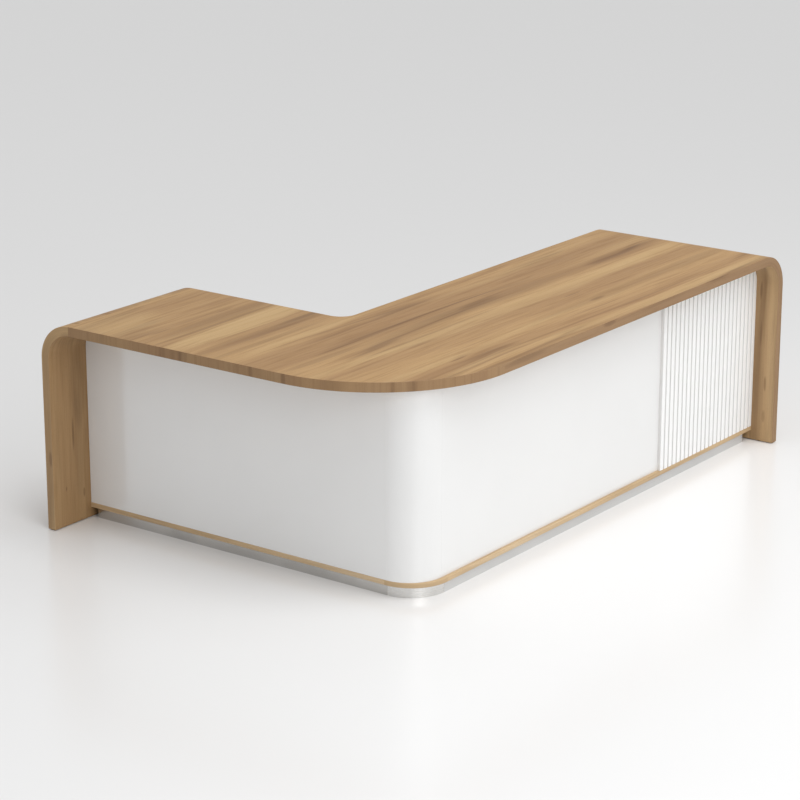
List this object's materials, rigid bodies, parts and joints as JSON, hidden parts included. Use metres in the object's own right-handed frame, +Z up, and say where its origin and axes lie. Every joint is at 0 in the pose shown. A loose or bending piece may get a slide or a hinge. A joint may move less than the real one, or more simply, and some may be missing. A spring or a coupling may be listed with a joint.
{
  "type": "executive desk",
  "caption": "L-shaped executive desk: wood top with bent waterfall ends, white front panels, slatted panel, metal plinth, drawer pedestal and cupboard.",
  "frame": {"origin": "centre of the bounding box's bottom face, on the floor", "axes": "+X along the main arm, away from the return; +Y from the main arm's front towards the user and the end of the return; +Z up"},
  "size_m": [2.4, 1.58, 0.76],
  "materials": {
    "wood": "satin wood-grain laminate",
    "wood_front": "satin wood-grain laminate, upright grain",
    "gloss_white": "high-gloss white lacquer on board",
    "slat_white": "satin white lacquer on routed board",
    "plinth_metal": "brushed along its length",
    "board_dark": "raw dark board",
    "drawer_wood": "clear-lacquered light wood",
    "handle_metal": "satin dark grey powder coat",
    "black_plastic": "matte",
    "white_board": "fine-textured white melamine",
    "steel": "zinc-plated"
  },
  "bodies": {
    "desk": {"worktop": "wood", "return_end": "wood", "main_end": "wood", "joint_dowels": "drawer_wood", "leg_glides": "black_plastic", "return_panel": "gloss_white", "corner_panel": "gloss_white", "main_panel": "gloss_white", "slat_panel": "slat_white", "base_return": "wood", "base_corner": "wood", "base_main": "wood", "plinth_return": "plinth_metal", "plinth_corner": "plinth_metal", "plinth_main": "plinth_metal", "plinth_rails": "board_dark", "angle_brackets": "steel", "bracket_screws": "steel", "cupboard_sides": "white_board", "cupboard_top": "white_board", "cupboard_bottom": "white_board", "cupboard_back": "white_board", "cupboard_shelf": "white_board", "shelf_pins": "steel", "door_catch": "black_plastic", "kick_boards": "white_board", "cabinet_dowels": "drawer_wood", "pedestal_sides": "white_board", "pedestal_top": "white_board", "pedestal_bottom": "white_board", "pedestal_back": "white_board", "runner_cases": "steel"},
    "left_door": {"left_door": "wood_front", "left_door_pivots": "steel", "left_door_handle": "handle_metal"},
    "right_door": {"right_door": "wood_front", "right_door_pivots": "steel", "right_door_handle": "handle_metal"},
    "drawer_1": {"drawer_1_front": "wood_front", "drawer_1_sides": "drawer_wood", "drawer_1_ends": "drawer_wood", "drawer_1_bottom": "drawer_wood", "drawer_1_runners": "steel", "drawer_1_handle": "handle_metal"},
    "drawer_2": {"drawer_2_front": "wood_front", "drawer_2_sides": "drawer_wood", "drawer_2_ends": "drawer_wood", "drawer_2_bottom": "drawer_wood", "drawer_2_runners": "steel", "drawer_2_handle": "handle_metal"},
    "drawer_3": {"drawer_3_front": "wood_front", "drawer_3_sides": "drawer_wood", "drawer_3_ends": "drawer_wood", "drawer_3_bottom": "drawer_wood", "drawer_3_runners": "steel", "drawer_3_handle": "handle_metal"},
    "runner_1": {"runner_1_middle": "steel"},
    "runner_2": {"runner_2_middle": "steel"},
    "runner_3": {"runner_3_middle": "steel"},
    "lock": {"drawer_lock": "steel"}
  },
  "joints": [
    {"name": "left_door_hinge", "type": "hinge", "parent": "desk", "child": "left_door", "pos_m": [-0.579, 0.069, 0.391], "axis": [0, 0, -1], "range_deg": [0, 100]},
    {"name": "right_door_hinge", "type": "hinge", "parent": "desk", "child": "right_door", "pos_m": [-0.579, 0.629, 0.391], "axis": [0, 0, 1], "range_deg": [0, 100]},
    {"name": "drawer_1_slide", "type": "slide", "parent": "desk", "child": "drawer_1", "axis": [0, 1, 0], "range_m": [0, 0.5]},
    {"name": "runner_1_slide", "type": "slide", "parent": "desk", "child": "runner_1", "axis": [0, 1, 0], "range_m": [0, 0.25]},
    {"name": "drawer_2_slide", "type": "slide", "parent": "desk", "child": "drawer_2", "axis": [0, 1, 0], "range_m": [0, 0.5]},
    {"name": "runner_2_slide", "type": "slide", "parent": "desk", "child": "runner_2", "axis": [0, 1, 0], "range_m": [0, 0.25]},
    {"name": "drawer_3_slide", "type": "slide", "parent": "desk", "child": "drawer_3", "axis": [0, 1, 0], "range_m": [0, 0.5]},
    {"name": "runner_3_slide", "type": "slide", "parent": "desk", "child": "runner_3", "axis": [0, 1, 0], "range_m": [0, 0.25]},
    {"name": "lock_turn", "type": "hinge", "parent": "drawer_1", "child": "lock", "pos_m": [1.002, -0.068, 0.683], "axis": [0, 1, 0], "range_deg": [0, 90]}
  ],
  "couplings": [
    {"joint": "runner_1_slide", "follows": "drawer_1_slide", "ratio": 0.5},
    {"joint": "runner_2_slide", "follows": "drawer_2_slide", "ratio": 0.5},
    {"joint": "runner_3_slide", "follows": "drawer_3_slide", "ratio": 0.5}
  ]
}
